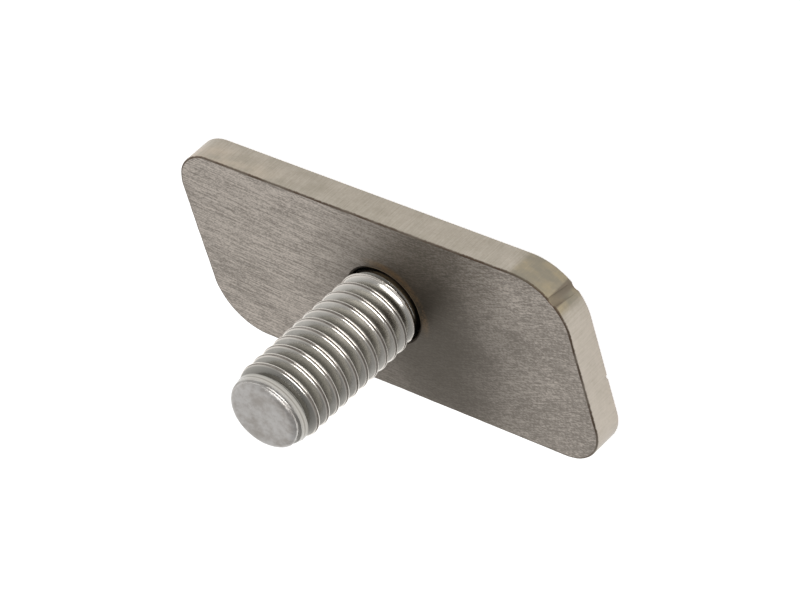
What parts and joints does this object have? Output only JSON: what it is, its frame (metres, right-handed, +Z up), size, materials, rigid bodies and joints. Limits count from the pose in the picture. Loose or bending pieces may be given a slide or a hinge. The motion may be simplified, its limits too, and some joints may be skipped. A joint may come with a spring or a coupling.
{
  "type": "t slot bolt",
  "caption": "T slot bolt: a flat parallelogram slot plate with two tight and two wide corners, and a threaded stud standing square from its middle.",
  "frame": {"origin": "centre of the slot plate's rear face, the face away from the stud, on the stud's axis; the plate lies flat on z = 0 with its stud up", "axes": "+Z runs up the stud's axis towards its point, and +X runs along the plate's long edges, so that its acute corners point to -X +Y and +X -Y"},
  "size_m": [0.052, 0.0222, 0.0235],
  "materials": {
    "plate_steel": "brushed stainless sheet with cut edges",
    "stud_steel": "smooth rolled stainless thread",
    "weld_steel": "weld metal ground flush"
  },
  "bodies": {
    "root": {"slot_plate": "plate_steel", "threaded_stud": "stud_steel", "rear_weld": "weld_steel"}
  },
  "joints": []
}
